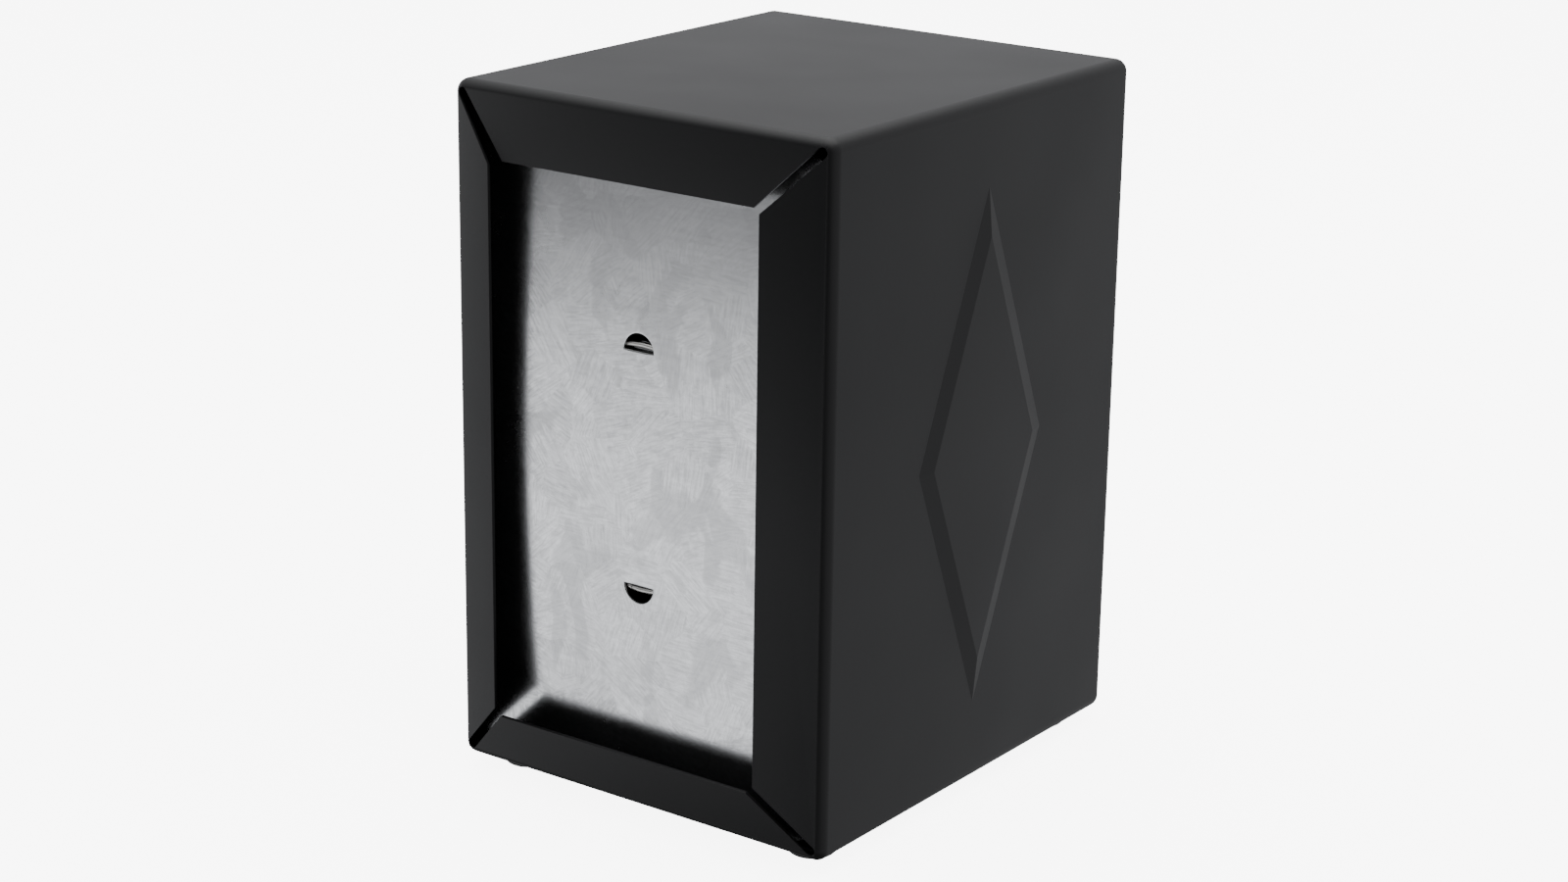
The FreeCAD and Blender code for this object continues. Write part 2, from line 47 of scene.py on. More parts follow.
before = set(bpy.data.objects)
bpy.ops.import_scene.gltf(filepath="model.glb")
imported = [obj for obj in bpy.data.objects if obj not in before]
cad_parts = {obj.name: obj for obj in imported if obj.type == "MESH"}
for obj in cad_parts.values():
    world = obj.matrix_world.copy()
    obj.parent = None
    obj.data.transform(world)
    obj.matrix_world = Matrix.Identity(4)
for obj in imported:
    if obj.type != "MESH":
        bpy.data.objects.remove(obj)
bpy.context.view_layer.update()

MM = 0.001
_, CASE_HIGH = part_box("case_shell")
PLATE_LOW, PLATE_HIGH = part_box("front_plate")
PLATE_MIDDLE = (PLATE_LOW.z + PLATE_HIGH.z) / 2
FEET = ("foot_front_left", "foot_front_right", "foot_rear_left", "foot_rear_right")
# A shape that is built upright in the XY plane, facing +Z, is turned to stand in XZ and face the front.
FACING_FRONT = Matrix.Rotation(math.radians(90), 4, "X")
ALONG_DEPTH = Vector((0, 1, 0))

# Points this close are one: in the sleeve's mesh, on the plane of a cut, and between a plate's parts.
SLEEVE_WELD, CUT_WELD, PLATE_WELD = 0.002 * MM, 0.001 * MM, 0.01 * MM
# A sheet's cut edges and a wire's ends turn by a right angle. Nothing else on them turns by this much.
CUT_EDGE_ANGLE = math.radians(50)
WIRE_END_ANGLE = math.radians(60)
# A crease of a pressed diamond lies this near to the sleeve's widest point and to its middle, and turns
# by an angle between these two.
CREASE_FROM_SIDE, CREASE_FROM_MIDDLE = 1.6 * MM, 40 * MM
CREASE_ANGLES = math.radians(3), math.radians(40)
# Faces round a hole or a foot, round a wire, and along one rounded corner of a plate.
ROUND_FACES, WIRE_FACES, CORNER_FACES = 48, 14, 10
# A wire has a ring of vertices every 5 degrees of its turns.
WIRE_STEP = math.radians(5)

# A plate's mesh has cells of about 5 mm, and of 2 mm round its holes.
CELL = 5 * MM
HOLE_CELL = 2 * MM
# Small cells on each side of a hole's middle, before its straight edge, and past that edge.
CELLS_BESIDE, CELLS_BEFORE, CELLS_PAST = 4, 2, 4
# A narrow ring of faces round each hole keeps the shading beside it flat.
HOLE_RING = 0.3 * MM
# A plate strays from its curve in waves about 80 mm long. They lean to and fro over 180 mm of its height.
WAVE_ACROSS, WAVE_UP, WAVE_LEAN = 13 * MM, 29 * MM, 2.0


# ---------------------------------------------------------------- what a user would change


def length(name, description, millimetres):
    """A length property in metres, with its default given in millimetres."""
    return bpy.props.FloatProperty(
        name=name,
        description=description,
        default=millimetres * MM,
        min=0.0,
        precision=5,
        unit="LENGTH",
        subtype="DISTANCE",
    )


class SleeveSettings(bpy.types.PropertyGroup):
    edge_rounding: length("Edge rounding", "Rounding of the cut edges under their coating", 0.16)
    crease_width: length("Crease width", "Half width of the rounding along the pressed diamond", 1.7)
    crease_segments: bpy.props.IntProperty(
        name="Crease segments", description="Faces across each rounded crease", default=6, min=1
    )


class PlateSettings(bpy.types.PropertyGroup):
    sheet: length("Sheet", "Thickness of the plates", 0.6)
    corner: length("Corner", "Corner radius of the plates", 8.0)
    bow: length("Bow", "How far the middle of a plate stands in front of its ends", 2.4)
    hole_radius: length("Hole radius", "Radius of the D-shaped holes", 3.75)
    hole_reach: length("Hole reach", "Height of the holes' straight edges from the middle", 24.5)
    grip_depth: length("Grip depth", "How far the tongues reach back before they turn up", 2.03)
    edge_rounding: length("Edge rounding", "Rounding of the punched edges", 0.12)
    wander: length("Wander", "How far the sheet strays from a true curve", 0.06)


class SpringSettings(bpy.types.PropertyGroup):
    wire: length("Wire radius", "Radius of the wire", 0.6)
    coil: length("Coil radius", "Radius of the coil at the middle of its wire", 25.7)
    half_length: length("Half length", "From the middle of the spring to its end turns", 51.42)
    turns: bpy.props.FloatProperty(
        name="Turns", description="Open turns between the two flat end turns", default=5.971, min=1.0
    )
    start: bpy.props.FloatProperty(
        name="Start",
        description="Where the open turns begin. They meet no tongue for nearly half a turn from there",
        default=math.radians(95.2),
        subtype="ANGLE",
    )
    end_sweep: bpy.props.FloatProperty(
        name="End sweep",
        description="How far round each flat end turn goes",
        default=math.radians(275),
        subtype="ANGLE",
    )


class FootSettings(bpy.types.PropertyGroup):
    draft: length("Draft", "How much smaller the foot's radius is at the ground", 0.5)
    rounding: length("Rounding", "Rounding of the lower edge", 1.4)
    hollow: length("Hollow", "Depth of the hollow in the underside", 0.5)


class FinishSettings(bpy.types.PropertyGroup):
    coat: bpy.props.StringProperty(
        name="Powder coat", description="Colour of the coating, as sRGB hex", default="0F0F10"
    )
    zinc: bpy.props.StringProperty(
        name="Zinc", description="Colour of the galvanised plates, as sRGB hex", default="D6D7D8"
    )
    wire: bpy.props.StringProperty(
        name="Wire", description="Colour of the spring wire, as sRGB hex", default="C9C8C4"
    )
    rubber: bpy.props.StringProperty(
        name="Rubber", description="Colour of the feet, as sRGB hex", default="161617"
    )


class StageSettings(bpy.types.PropertyGroup):
    azimuth: bpy.props.FloatProperty(
        name="Azimuth",
        description="Camera's direction from the object, from the front towards the right",
        default=math.radians(35.97),
        subtype="ANGLE",
    )
    elevation: bpy.props.FloatProperty(
        name="Elevation",
        description="Camera's height above the horizon",
        default=math.radians(17.44),
        subtype="ANGLE",
    )
    roll: bpy.props.FloatProperty(
        name="Roll", description="Camera's tilt to one side", default=math.radians(0.87), subtype="ANGLE"
    )
    distance: length("Distance", "From the camera to the point that it aims at", 681.9)
    lens: bpy.props.FloatProperty(
        name="Lens", description="Focal length in millimetres", default=73.46, min=1.0, unit="CAMERA"
    )


# ---------------------------------------------------------------- building helpers


def new_piece(name, bm, node_body, *nodes):
    """Makes an object of a bmesh, in place, lets it ride on a body and stand for its CAD nodes."""
    mesh = bpy.data.meshes.new(name)
    bm.to_mesh(mesh)
    bm.free()
    piece = bpy.data.objects.new(name, mesh)
    bpy.context.scene.collection.objects.link(piece)
    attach(piece, node_body)
    if nodes:
        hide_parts(*nodes)
    return piece


def add_modifier(piece, kind, **settings):
    """Adds a modifier of a kind, with its settings."""
    modifier = piece.modifiers.new(kind.title(), kind)
    for name, value in settings.items():
        setattr(modifier, name, value)


def settle(piece, sharp_angle):
    """Applies a piece's modifiers, then shades it smooth up to an angle."""
    depsgraph = bpy.context.evaluated_depsgraph_get()
    mesh = bpy.data.meshes.new_from_object(piece.evaluated_get(depsgraph))
    piece.modifiers.clear()
    piece.data = mesh
    mesh.polygons.foreach_set("use_smooth", [True] * len(mesh.polygons))
    mesh.set_sharp_from_angle(angle=math.radians(sharp_angle))


def bevel(bm, geom, offset, segments, affect="EDGES"):
    """Rounds edges, or the corners at vertices, with this many faces."""
    bmesh.ops.bevel(
        bm,
        geom=geom,
        offset=offset,
        offset_type="OFFSET",
        segments=segments,
        profile=0.5,
        affect=affect,
        clamp_overlap=True,
        material=-1,
    )


# ---------------------------------------------------------------- the sleeve


class DISPENSER_OT_sleeve(bpy.types.Operator):
    """Add the folded sleeve, with rounded cut edges and a softly pressed diamond on each side"""

    bl_idname = "dispenser.sleeve"
    bl_label = "Sleeve"

    def execute(self, context):
        settings = context.scene.dispenser_sleeve
        bm = bmesh.new()
        bm.from_mesh(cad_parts["case_shell"].data)
        bmesh.ops.remove_doubles(bm, verts=bm.verts, dist=SLEEVE_WELD)
        # The triangles of each flat wall become one face.
        bmesh.ops.dissolve_limit(
            bm, angle_limit=math.radians(0.2), verts=bm.verts, edges=bm.edges, use_dissolve_boundaries=False
        )
        creases = [edge for edge in bm.edges if is_crease(edge)]
        bevel(bm, creases, settings.crease_width, settings.crease_segments)
        cut_edges = [edge for edge in bm.edges if edge.calc_face_angle(0) > CUT_EDGE_ANGLE]
        bevel(bm, cut_edges, settings.edge_rounding, 2)
        piece = new_piece("sleeve", bm, "case", "case_shell")
        piece.data.materials.append(powder_coat(context.scene.dispenser_finish))
        settle(piece, 30)
        return {"FINISHED"}


def is_crease(edge):
    """True for the creases of the pressed diamonds: shallow, and beside a side wall's plane."""
    if len(edge.link_faces) != 2:
        return False
    on_side = all(abs(vert.co.x) > CASE_HIGH.x - CREASE_FROM_SIDE for vert in edge.verts)
    away_from_bends = all(abs(vert.co.y) < CREASE_FROM_MIDDLE for vert in edge.verts)
    least, most = CREASE_ANGLES
    return on_side and away_from_bends and least < edge.calc_face_angle() < most


# ---------------------------------------------------------------- the follower plates


def cell_lines(limit, *stops):
    """Places of a plate's cell lines: every stop, and even steps of about a cell out to the limit."""
    last = stops[-1]
    count = max(1, round((limit - last) / CELL))
    rest = [last + (limit - last) * i / count for i in range(1, count)]
    return sorted({*stops, *(-stop for stop in stops), *rest, *(-place for place in rest)})


def cut(bm, point, normal, clear_inner=False):
    """Cuts a bmesh along a plane. A vertex that lies on the plane already is used as it is."""
    geom = [*bm.verts, *bm.edges, *bm.faces]
    bmesh.ops.bisect_plane(
        bm, geom=geom, dist=CUT_WELD, plane_co=point, plane_no=normal, clear_inner=clear_inner
    )


def half_disc(radius, up):
    """A half disc in a bmesh of its own, its straight edge through the origin, cut into columns."""
    bm = bmesh.new()
    bmesh.ops.create_circle(bm, cap_ends=True, segments=ROUND_FACES, radius=radius)
    cut(bm, (0, 0, 0), (0, up, 0), clear_inner=True)
    for place in (-radius / 2, 0, radius / 2):
        cut(bm, (place, 0, 0), (1, 0, 0))
    return bm


def add_from(bm, other, shift):
    """Copies another bmesh into this one, moved by a vector, and returns its new edges."""
    mesh = bpy.data.meshes.new("part_of_plate")
    bmesh.ops.translate(other, vec=shift, verts=other.verts)
    other.to_mesh(mesh)
    other.free()
    known = set(bm.edges)
    bm.from_mesh(mesh)
    bpy.data.meshes.remove(mesh)
    return [edge for edge in bm.edges if edge not in known]


def punch_hole(bm, settings, up):
    """Opens a D-shaped hole: the cells round it are taken out, and the rest is filled to its outline."""
    radius, reach = settings.hole_radius, settings.hole_reach
    before, past = reach - CELLS_BEFORE * HOLE_CELL, reach + CELLS_PAST * HOLE_CELL
    patch = []
    for face in bm.faces:
        place = face.calc_center_median()
        if abs(place.x) < CELLS_BESIDE * HOLE_CELL and before < up * place.y < past:
            patch.append(face)
    rim = {edge for face in patch for edge in face.edges}
    rim = [edge for edge in rim if any(face not in patch for face in edge.link_faces)]
    bmesh.ops.delete(bm, geom=patch, context="FACES")
    disc = half_disc(radius, up)
    bmesh.ops.delete(disc, geom=disc.faces[:], context="FACES_ONLY")
    inner = [edge for edge in disc.edges if is_outline(edge, radius)]
    bmesh.ops.delete(disc, geom=[edge for edge in disc.edges if edge not in inner], context="EDGES")
    outline = add_from(bm, disc, (0, up * reach, 0))
    filled = bmesh.ops.triangle_fill(bm, edges=[*rim, *outline], use_beauty=True, normal=(0, 0, 1))
    fresh = [item for item in filled["geom"] if isinstance(item, bmesh.types.BMFace)]
    bmesh.ops.inset_region(bm, faces=fresh, thickness=HOLE_RING, use_boundary=True)


def is_outline(edge, radius):
    """True for an edge of a half disc that lies on its arc or on its straight edge."""
    on_arc = all(abs(vert.co.length - radius) < PLATE_WELD for vert in edge.verts)
    on_chord = all(abs(vert.co.y) < CUT_WELD for vert in edge.verts)
    return on_arc or on_chord


def add_tongue(bm, settings, up):
    """Folds the half disc of a hole back under the wire, and up behind it."""
    radius, depth = settings.hole_radius, settings.grip_depth
    disc = half_disc(radius, up)
    for place in (depth / 2, depth, (depth + radius) / 2):
        cut(disc, (0, up * place, 0), (0, 1, 0))
    for vert in disc.verts:
        along = abs(vert.co.y)
        vert.co.z = -min(along, depth)
        vert.co.y = up * max(0.0, along - depth)
    add_from(bm, disc, (0, up * settings.hole_reach, 0))


def bow_radius(settings):
    """The radius of the arc that a plate's bow follows."""
    half_height = (PLATE_HIGH.z - PLATE_LOW.z) / 2
    return (half_height**2 + settings.bow**2) / (2 * settings.bow)


def follower_plate(context, name, turn, body, node, material):
    """A bowed plate with two D-shaped holes and their tongues."""
    settings = context.scene.dispenser_plate
    width, height = PLATE_HIGH.x - PLATE_LOW.x, PLATE_HIGH.z - PLATE_LOW.z
    bm = bmesh.new()
    bmesh.ops.create_grid(
        bm, x_segments=1, y_segments=1, size=0.5, matrix=Matrix.Diagonal((width, height, 1, 1))
    )
    bevel(bm, bm.verts[:], settings.corner, CORNER_FACES, affect="VERTICES")
    across = [i * HOLE_CELL for i in range(CELLS_BESIDE + 1)]
    upward = [0, 2 * CELL]
    upward += [settings.hole_reach + i * HOLE_CELL for i in range(-CELLS_BEFORE, CELLS_PAST + 1)]
    for place in cell_lines(width / 2, *across):
        cut(bm, (place, 0, 0), (1, 0, 0))
    for place in cell_lines(height / 2, *upward):
        cut(bm, (0, place, 0), (0, 1, 0))
    for up in (1, -1):
        punch_hole(bm, settings, up)
        add_tongue(bm, settings, up)
    bmesh.ops.remove_doubles(bm, verts=bm.verts, dist=PLATE_WELD)
    radius = bow_radius(settings)
    for vert in bm.verts:
        wave = math.sin(vert.co.x / WAVE_ACROSS + WAVE_LEAN * math.cos(vert.co.y / WAVE_UP))
        fade = math.cos(math.pi * vert.co.x / width) ** 2
        vert.co.z -= vert.co.y**2 / (2 * radius) + settings.wander * fade * (1 + wave) / 2
    bmesh.ops.recalc_face_normals(bm, faces=bm.faces)
    front = max(bm.faces, key=lambda face: face.calc_area())
    if front.normal.z < 0:
        bmesh.ops.reverse_faces(bm, faces=bm.faces)
    bmesh.ops.transform(bm, matrix=FACING_FRONT, verts=bm.verts)
    bmesh.ops.translate(bm, vec=(0, PLATE_LOW.y, PLATE_MIDDLE), verts=bm.verts)
    bmesh.ops.rotate(bm, cent=(0, 0, 0), matrix=Matrix.Rotation(turn, 3, "Z"), verts=bm.verts)
    piece = new_piece(name, bm, body, node)
    add_modifier(piece, "SOLIDIFY", thickness=settings.sheet, offset=-1, use_even_offset=True)
    add_modifier(piece, "BEVEL", width=settings.edge_rounding, segments=2, angle_limit=CUT_EDGE_ANGLE)
    settle(piece, 40)
    piece.data.materials.append(material)


class DISPENSER_OT_plates(bpy.types.Operator):
    """Add the front and rear plates that press the napkins forwards"""

    bl_idname = "dispenser.plates"
    bl_label = "Plates"

    def execute(self, context):
        zinc = galvanised_sheet(context.scene.dispenser_finish)
        follower_plate(context, "front_follower_plate", 0, "front_follower", "front_plate", zinc)
        follower_plate(context, "rear_follower_plate", math.pi, "rear_follower", "rear_plate", zinc)
        return {"FINISHED"}


# ---------------------------------------------------------------- the spring


def wire_along(name, settings, start_angle, sweep, start_y, rise, body, material):
    """A round wire that winds about the spring's axis, from a start angle and a start depth."""
    bm = bmesh.new()
    section = bmesh.ops.create_circle(bm, cap_ends=True, segments=WIRE_FACES, radius=settings.wire)
    place = Matrix.Translation((settings.coil, start_y, PLATE_MIDDLE))
    bmesh.ops.transform(bm, matrix=place, verts=section["verts"])
    axis_point = (0, start_y, PLATE_MIDDLE)
    first = Matrix.Rotation(start_angle, 3, "Y")
    bmesh.ops.rotate(bm, cent=axis_point, matrix=first, verts=section["verts"])
    steps = max(8, round(sweep / WIRE_STEP))
    bmesh.ops.spin(
        bm,
        geom=[*bm.verts, *bm.edges, *bm.faces],
        cent=axis_point,
        axis=ALONG_DEPTH,
        dvec=ALONG_DEPTH * (rise / steps),
        angle=sweep,
        steps=steps,
    )
    bmesh.ops.recalc_face_normals(bm, faces=bm.faces)
    ends = [edge for edge in bm.edges if edge.calc_face_angle(0) > WIRE_END_ANGLE]
    bevel(bm, ends, settings.wire / 4, 2)
    piece = new_piece(name, bm, body)
    piece.data.materials.append(material)
    settle(piece, 50)
    return piece


class DISPENSER_OT_spring(bpy.types.Operator):
    """Add the coil spring between the plates: two flat end turns, which ride on the plates, and two halves,
    which ride on the case
    """

    bl_idname = "dispenser.spring"
    bl_label = "Spring"

    def execute(self, context):
        settings = context.scene.dispenser_spring
        material = spring_wire(context.scene.dispenser_finish)
        half, sweep = settings.half_length, settings.turns * math.pi
        turn, start = settings.end_sweep, settings.start
        middle, end = start + sweep, start + 2 * sweep
        first = wire_along(
            "spring_front_turn", settings, start - turn, turn, -half, 0, "front_follower", material
        )
        wire_along("spring_rear_turn", settings, end, turn, half, 0, "rear_follower", material)
        front = wire_along("spring_front_half", settings, start, sweep, -half, half, "case", material)
        rear = wire_along("spring_rear_half", settings, middle, sweep, 0, half, "case", material)
        # Both slides have the same travel. Each half gets a mesh of its own.
        for piece, joint in ((front, "front_plate_slide"), (rear, "rear_plate_slide")):
            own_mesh(piece)
        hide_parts("plate_spring")
        return {"FINISHED"}


# ---------------------------------------------------------------- the feet


class DISPENSER_OT_feet(bpy.types.Operator):
    """Add the four moulded rubber feet"""

    bl_idname = "dispenser.feet"
    bl_label = "Feet"

    def execute(self, context):
        settings = context.scene.dispenser_foot
        material = foot_rubber(context.scene.dispenser_finish)
        for node in FEET:
            low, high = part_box(node)
            bm = bmesh.new()
            radius, depth = (high.x - low.x) / 2, high.z - low.z
            bmesh.ops.create_cone(
                bm,
                cap_ends=True,
                segments=ROUND_FACES,
                radius1=radius - settings.draft,
                radius2=radius,
                depth=depth,
                matrix=Matrix.Translation((low + high) / 2),
            )
            underside = min(bm.faces, key=lambda face: face.calc_center_median().z)
            bevel(bm, underside.edges[:], settings.rounding, 6)
            # The underside is hollow, and stands on a rim a fifth of its radius wide.
            underside = min(bm.faces, key=lambda face: face.calc_center_median().z)
            bmesh.ops.inset_region(bm, faces=[underside], thickness=radius / 5)
            bmesh.ops.inset_region(bm, faces=[underside], thickness=settings.hollow, depth=-settings.hollow)
            piece = new_piece(node.replace("foot", "rubber_foot"), bm, "case", node)
            piece.data.materials.append(material)
            settle(piece, 50)
        return {"FINISHED"}


# ---------------------------------------------------------------- the finishes


def linear(code):
    """An sRGB hex colour as linear RGBA."""
    channels = [int(code[i : i + 2], 16) / 255 for i in (0, 2, 4)]
    return (*(c / 12.92 if c <= 0.04045 else ((c + 0.055) / 1.055) ** 2.4 for c in channels), 1.0)


def per_mm(size):
    """The scale of a pattern whose features are this many millimetres across."""
    return 1 / (size * MM)


def node(tree, kind, links=(), **settings):
    """Adds a shader node. Its settings are attributes, or inputs by name, and its links feed inputs."""
    made = tree.nodes.new(kind)
    for name, value in settings.items():
        if hasattr(made, name):
            setattr(made, name, value)
        else:
            made.inputs[name.replace("_", " ")].default_value = value
    for name, output in dict(links).items():
        tree.links.new(output, made.inputs[name])
    return made


def noise(tree, vector, size, **settings):
    """A noise texture whose features are this many millimetres across."""
    return node(tree, "ShaderNodeTexNoise", {"Vector": vector}, Scale=per_mm(size), **settings)


def spread(tree, value, low, high, start=0.0, end=1.0, **settings):
    """Maps values between start and end onto low to high, and holds them there beyond."""
    made = node(
        tree,
        "ShaderNodeMapRange",
        {"Value": value},
        From_Min=start,
        From_Max=end,
        To_Min=low,
        To_Max=high,
        **settings,
    )
    return made.outputs["Result"]


def maths(tree, operation, first, second):
    """Joins two values, each of them a number or a node's output."""
    made = node(tree, "ShaderNodeMath", operation=operation)
    for i, value in enumerate((first, second)):
        if isinstance(value, float):
            made.inputs[i].default_value = value
        else:
            tree.links.new(value, made.inputs[i])
    return made.outputs["Value"]


def new_material(name):
    """A material with only its Principled shader and the object's coordinates."""
    material = bpy.data.materials.new(name)
    material.use_nodes = True
    tree = material.node_tree
    shader = next(item for item in tree.nodes if item.type == "BSDF_PRINCIPLED")
    place = node(tree, "ShaderNodeTexCoord").outputs["Object"]
    return material, tree, shader, place


def powder_coat(finish):
    """Satin black powder coat, sprayed and baked. Its faint orange peel breaks up the reflections."""
    material, tree, shader, place = new_material("satin_black_powder_coat")
    shader.inputs["Base Color"].default_value = linear(finish.coat)
    shader.inputs["Specular IOR Level"].default_value = 0.30
    # Orange peel is about 1.2 mm from crest to crest.
    peel = noise(tree, place, 1.2, Detail=3.0, Roughness=0.55)
    # Powder grain is about 0.1 mm, drawn at 0.35 mm so that it shows.
    grain = noise(tree, place, 0.35, Detail=1.0)
    # The bake leaves slow changes of gloss, about 45 mm across.
    cloud = noise(tree, place, 45, Detail=2.0)
    gloss = spread(tree, cloud.outputs["Fac"], 0.40, 0.46, start=0.3, end=0.7)
    tree.links.new(gloss, shader.inputs["Roughness"])
    peel_bump = node(
        tree, "ShaderNodeBump", {"Height": peel.outputs["Fac"]}, Strength=0.25, Distance=0.02 * MM
    )
    bump = node(
        tree,
        "ShaderNodeBump",
        {"Height": grain.outputs["Fac"], "Normal": peel_bump.outputs["Normal"]},
        Strength=0.3,
        Distance=0.01 * MM,
    )
    tree.links.new(bump.outputs["Normal"], shader.inputs["Normal"])
    return material


def galvanised_sheet(finish):
    """Hot-dip galvanised steel. Its zinc crystals are patches of slightly different grey and gloss."""
    material, tree, shader, place = new_material("hot_dip_galvanised_steel")
    shader.inputs["Metallic"].default_value = 1.0

    def drawn_out(vector, scale, size, **settings):
        """Noise of a size, stretched along the axes whose scale is small."""
        longer = node(tree, "ShaderNodeMapping", {"Vector": vector}, Scale=scale).outputs["Vector"]
        return noise(tree, longer, size, **settings).outputs["Fac"]

    mapped = partial(spread, tree)
    times = partial(maths, tree, "MULTIPLY")
    plus = partial(maths, tree, "ADD")
    # The crystals' borders wander by up to 3 mm to each side, over 6 mm or so.
    drift = noise(tree, place, 6, Detail=4.0)
    wander = node(
        tree, "ShaderNodeVectorMath", {0: drift.outputs["Color"]}, operation="SCALE", Scale=6 * MM
    )
    drifted = node(tree, "ShaderNodeVectorMath", {0: wander.outputs["Vector"], 1: place}, operation="ADD")
    # Crystals are about 9 mm across.
    crystals = node(
        tree, "ShaderNodeTexVoronoi", {"Vector": drifted.outputs["Vector"]}, Scale=per_mm(9), Randomness=1.0
    )
    tone = node(tree, "ShaderNodeSeparateColor", {"Color": crystals.outputs["Color"]})
    # Each crystal is feathered along a direction of its own, with feathers 0.5 mm wide.
    turned = node(
        tree,
        "ShaderNodeVectorRotate",
        {"Vector": place, "Angle": mapped(tone.outputs["Green"], 0.0, math.tau)},
        rotation_type="Y_AXIS",
    )
    feather = drawn_out(turned.outputs["Vector"], (1, 1, 0.1), 0.5, Detail=3.0, Distortion=0.6)
    # Between the feathers the zinc is mottled, in spots of 2.5 mm and less.
    mottle = noise(tree, place, 2.5, Detail=7.0, Roughness=0.75, Distortion=1.0).outputs["Fac"]
    # Some patches, about 11 mm across, froze smooth and a little darker.
    frozen = drawn_out(place, (1, 1, 0.6), 11, Detail=2.0, Distortion=0.7)
    patch = mapped(frozen, 0.0, 1.0, start=0.55, end=0.59)
    # Rolling marks 0.7 mm wide run across the sheet, and scratches 0.5 mm wide run up it.
    rolled = drawn_out(place, (0.04, 1, 1), 0.7, Detail=2.0)
    scratched = drawn_out(place, (1, 1, 0.03), 0.5, Detail=2.0)
    crystal = mapped(tone.outputs["Red"], 0.90, 1.0)
    # Feathers and spots darken the zinc, by half as much in the patches, which are darker all over.
    feathers = mapped(feather, 0.14, 0.0, start=0.36, end=0.6)
    frost = plus(feathers, mapped(mottle, 0.22, 0.0, start=0.3, end=0.7))
    depth = plus(times(frost, mapped(patch, 1.0, 0.5)), mapped(patch, 0.0, 0.18))
    feathered = times(crystal, maths(tree, "SUBTRACT", 1.0, depth))
    brightness = times(feathered, mapped(rolled, 0.93, 1.0, start=0.35, end=0.65))
    zinc = node(tree, "ShaderNodeVectorMath", {"Scale": brightness}, operation="SCALE")
    zinc.inputs["Vector"].default_value = linear(finish.zinc)[:3]
    tree.links.new(zinc.outputs["Vector"], shader.inputs["Base Color"])
    # Feathers scatter a little more than the smooth parts, so the edges of reflections look torn.
    rough = plus(times(depth, 0.2), mapped(tone.outputs["Blue"], 0.18, 0.22))
    tree.links.new(rough, shader.inputs["Roughness"])
    marks = plus(rolled, scratched)
    bump = node(tree, "ShaderNodeBump", {"Height": marks}, Strength=0.1, Distance=0.01 * MM)
    tree.links.new(bump.outputs["Normal"], shader.inputs["Normal"])
    return material


def spring_wire(finish):
    """Bright drawn spring steel. Fine die marks dull its highlights a little."""
    material, tree, shader, place = new_material("drawn_spring_steel")
    shader.inputs["Metallic"].default_value = 1.0
    shader.inputs["Base Color"].default_value = linear(finish.wire)
    # Die marks are a few hundredths of a millimetre apart, drawn at 0.2 mm.
    marks = noise(tree, place, 0.2, Detail=2.0)
    gloss = spread(tree, marks.outputs["Fac"], 0.2, 0.42)
    tree.links.new(gloss, shader.inputs["Roughness"])
    return material


def foot_rubber(finish):
    """Moulded black rubber with a matt skin, fine as a mould's spark-eroded wall."""
    material, tree, shader, place = new_material("moulded_black_rubber")
    shader.inputs["Base Color"].default_value = linear(finish.rubber)
    shader.inputs["Roughness"].default_value = 0.62
    # The mould's texture is about 0.15 mm, drawn at 0.3 mm.
    skin = noise(tree, place, 0.3, Detail=2.0)
    bump = node(tree, "ShaderNodeBump", {"Height": skin.outputs["Fac"]}, Strength=0.3, Distance=0.03 * MM)
    tree.links.new(bump.outputs["Normal"], shader.inputs["Normal"])
    return material


# ---------------------------------------------------------------- the stage


# Each soft box's name, place, size and power, in metres and watts.
SOFT_BOXES = (
    ("overhead_box", (0, 0.1, 1.1), (1.4, 1.4), 16),
    ("left_box", (-1.2, -0.25, 0.25), (0.6, 0.6), 0.5),
)
LIT_POINT = (0, 0, 0.07)
# From the middle of the paper under the object to its edges, in metres.
PAPER_REACH = 30.0
# The paper glows, so that it shows as white.
PAPER_GLOW = 7.0
# The camera aims a little left of the middle, at nearly half the height.
AIM = Vector((-2.55, 0, 68.2)) * MM
# A full-frame sensor, in millimetres.
SENSOR_WIDTH = 36.0
# The camera sees nothing nearer than this, in metres.
NEAREST_SEEN = 0.01


def soft_light(name, place, size, power):
    """A soft box that points at the lit point."""
    data = bpy.data.lights.new(name, "AREA")
    data.shape = "RECTANGLE"
    data.size, data.size_y = size
    data.energy = power
    light = bpy.data.objects.new(name, data)
    light.location = place
    light.rotation_euler = (Vector(LIT_POINT) - Vector(place)).to_track_quat("-Z", "Y").to_euler()
    bpy.context.scene.collection.objects.link(light)


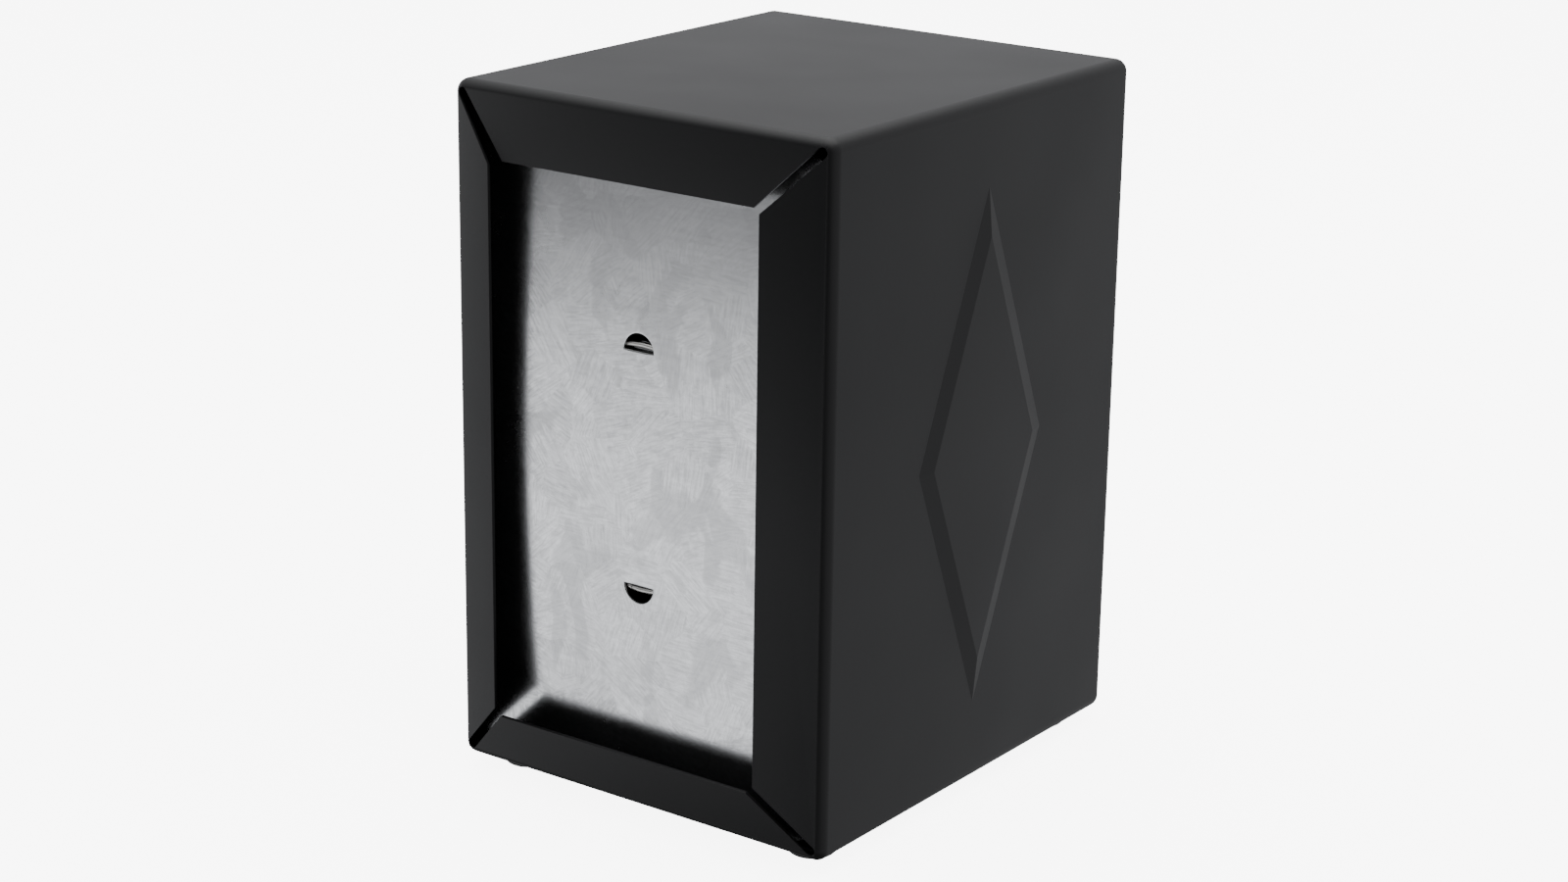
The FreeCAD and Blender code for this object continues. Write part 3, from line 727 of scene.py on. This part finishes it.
def studio_world():
    """Pale walls all round. In front they have a dim band near the horizon, and are dim to the right."""
    world = bpy.data.worlds.new("studio")
    world.use_nodes = True
    tree = world.node_tree
    background = next(item for item in tree.nodes if item.type == "BACKGROUND")
    direction = node(tree, "ShaderNodeTexCoord").outputs["Generated"]
    parts = node(tree, "ShaderNodeSeparateXYZ", {"Vector": direction})

    def fade(axis, start, end, before, after):
        """A smooth step between two strengths along one axis of the direction."""
        value = parts.outputs[axis]
        return spread(tree, value, before, after, start, end, interpolation_type="SMOOTHSTEP")

    times = partial(maths, tree, "MULTIPLY")
    # In front, the wall is bright low down but not at its foot, and dim from just below eye level upwards.
    below = fade("Z", -0.235, -0.195, 1.8, 0.0)
    above = fade("Z", 0.05, 0.3, 0.22, 0.4)
    foot_of_wall = fade("Z", -0.65, -0.42, 0.3, 1.0)
    level = maths(tree, "ADD", times(below, foot_of_wall), above)
    # To the right it is dim all the way down.
    front = times(level, fade("X", -0.35, 0.1, 1.0, 0.22))
    # At the sides and behind, the wall is dim at its foot only, and brightest at the far left.
    around = times(fade("Z", -0.85, -0.45, 0.15, 1.0), fade("X", -0.98, -0.7, 1.2, 0.8))
    strength = node(tree, "ShaderNodeMix", {0: fade("Y", -0.7, -0.45, 1.0, 0.0), 2: around, 3: front})
    tree.links.new(strength.outputs[0], background.inputs["Strength"])
    background.inputs["Color"].default_value = linear("FBFCFF")
    return world


class DISPENSER_OT_stage(bpy.types.Operator):
    """Add the floor, the soft studio light and the camera"""

    bl_idname = "dispenser.stage"
    bl_label = "Stage"

    def execute(self, context):
        settings = context.scene.dispenser_stage
        bm = bmesh.new()
        bmesh.ops.create_grid(bm, x_segments=1, y_segments=1, size=PAPER_REACH)
        mesh = bpy.data.meshes.new("floor")
        bm.to_mesh(mesh)
        bm.free()
        floor = bpy.data.objects.new("floor", mesh)
        context.scene.collection.objects.link(floor)
        paper = bpy.data.materials.new("matt_white_paper")
        paper.use_nodes = True
        shader = next(item for item in paper.node_tree.nodes if item.type == "BSDF_PRINCIPLED")
        shader.inputs["Base Color"].default_value = linear("F2F2F2")
        shader.inputs["Roughness"].default_value = 0.9
        shader.inputs["Emission Color"].default_value = linear("FFFFFF")
        shader.inputs["Emission Strength"].default_value = PAPER_GLOW
        mesh.materials.append(paper)
        # The object's gloss shows the studio's walls, not the bright table.
        floor.visible_glossy = False
        floor.visible_diffuse = False
        context.scene.world = studio_world()

        for box in SOFT_BOXES:
            soft_light(*box)

        camera_data = bpy.data.cameras.new("camera")
        camera_data.lens = settings.lens
        camera_data.sensor_width = SENSOR_WIDTH
        camera_data.clip_start = NEAREST_SEEN
        camera = bpy.data.objects.new("camera", camera_data)
        azimuth, elevation = settings.azimuth, settings.elevation
        back = Vector(
            (
                math.sin(azimuth) * math.cos(elevation),
                -math.cos(azimuth) * math.cos(elevation),
                math.sin(elevation),
            )
        )
        camera.location = AIM + back * settings.distance
        turn = (-back).to_track_quat("-Z", "Y").to_matrix() @ Matrix.Rotation(settings.roll, 3, "Z")
        camera.rotation_euler = turn.to_euler()
        context.scene.collection.objects.link(camera)
        context.scene.camera = camera
        return {"FINISHED"}


# ---------------------------------------------------------------- the add-on


OPERATORS = (
    DISPENSER_OT_sleeve,
    DISPENSER_OT_plates,
    DISPENSER_OT_spring,
    DISPENSER_OT_feet,
    DISPENSER_OT_stage,
)
SETTINGS = {
    "dispenser_sleeve": SleeveSettings,
    "dispenser_plate": PlateSettings,
    "dispenser_spring": SpringSettings,
    "dispenser_foot": FootSettings,
    "dispenser_finish": FinishSettings,
    "dispenser_stage": StageSettings,
}


class DISPENSER_PT_panel(bpy.types.Panel):
    """Lists the dispenser's pieces and their sizes"""

    bl_idname = "DISPENSER_PT_panel"
    bl_label = "Napkin dispenser"
    bl_space_type = "VIEW_3D"
    bl_region_type = "UI"
    bl_category = "Dispenser"

    def draw(self, context):
        for operator in OPERATORS:
            self.layout.operator(operator.bl_idname)
        for name, group in SETTINGS.items():
            column = self.layout.box().column()
            for setting in group.__annotations__:
                column.prop(getattr(context.scene, name), setting)


CLASSES = (*SETTINGS.values(), *OPERATORS, DISPENSER_PT_panel)


def register():
    for item in CLASSES:
        bpy.utils.register_class(item)
    for name, group in SETTINGS.items():
        setattr(bpy.types.Scene, name, bpy.props.PointerProperty(type=group))


def unregister():
    for name in SETTINGS:
        delattr(bpy.types.Scene, name)
    for item in reversed(CLASSES):
        bpy.utils.unregister_class(item)


def main():
    register()
    for operator in OPERATORS:
        group, name = operator.bl_idname.split(".")
        getattr(getattr(bpy.ops, group), name)()


if __name__ == "__main__":
    main()
